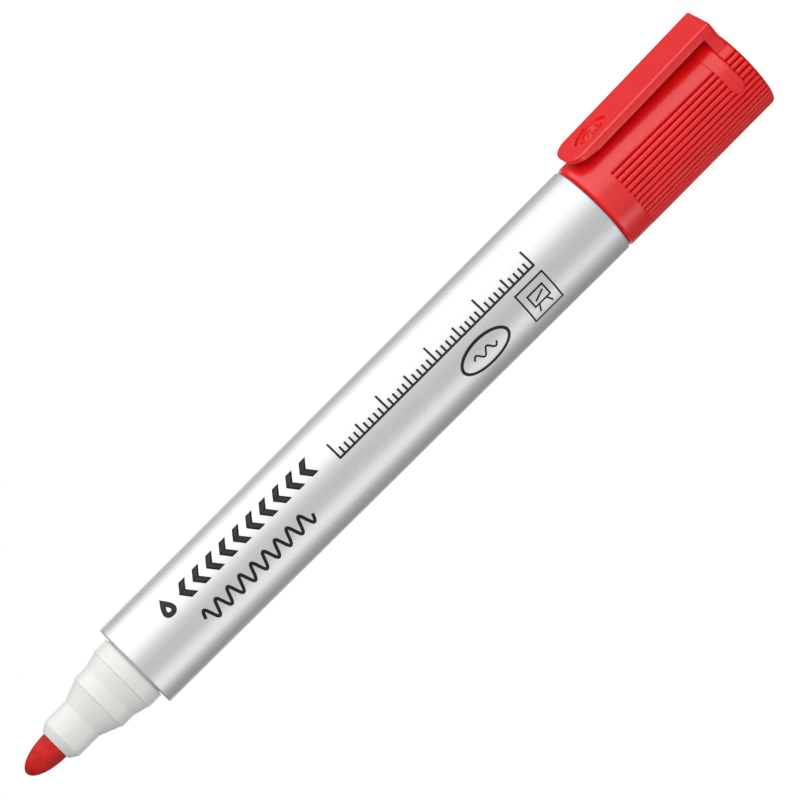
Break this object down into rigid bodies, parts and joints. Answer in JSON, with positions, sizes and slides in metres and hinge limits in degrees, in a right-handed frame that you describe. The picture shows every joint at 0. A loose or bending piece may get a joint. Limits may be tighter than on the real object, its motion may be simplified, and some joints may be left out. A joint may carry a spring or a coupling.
{
  "type": "whiteboard marker",
  "caption": "Round whiteboard marker with a bullet fibre nib, a stepped nose, a tapered barrel and a ribbed clip cap posted on its rear end.",
  "frame": {"origin": "centre of the flat closed end of the cap", "axes": "+Z along the marker from the cap's closed end to the nib; the pocket clip is on the -Y side; +X completes the set, and the part is symmetric about X = 0"},
  "size_m": [0.0154, 0.0184, 0.1487],
  "materials": {
    "cap_plastic": "satin-gloss moulded red polypropylene",
    "seal_plastic": "natural moulded polyethylene",
    "barrel_lacquer": "silver lacquer with a soft metallic gloss",
    "nose_plastic": "glossy moulded white polypropylene",
    "nib_fibre": "bonded fibre soaked in red ink",
    "reservoir_fibre": "ink-soaked fibre bundle",
    "wrap_film": "thin clear film",
    "plug_plastic": "moulded red polypropylene",
    "print_ink": "black pad-printing ink on the barrel"
  },
  "bodies": {
    "cap": {"cap": "cap_plastic", "inner_cap": "seal_plastic"},
    "clip": {"clip": "cap_plastic"},
    "barrel": {"barrel": "barrel_lacquer", "nose": "nose_plastic", "nib": "nib_fibre", "reservoir_core": "reservoir_fibre", "reservoir_wrap": "wrap_film", "end_plug": "plug_plastic"}
  },
  "joints": [
    {"name": "barrel_pull", "type": "slide", "parent": "cap", "child": "barrel", "axis": [0, 0, 1], "range_m": [0, 0.02]},
    {"name": "clip_flex", "type": "hinge", "parent": "cap", "child": "clip", "pos_m": [0, -0.0078, 0.0012], "axis": [1, 0, 0], "range_deg": [0, 5], "stiffness_Nm_per_rad": 1}
  ]
}
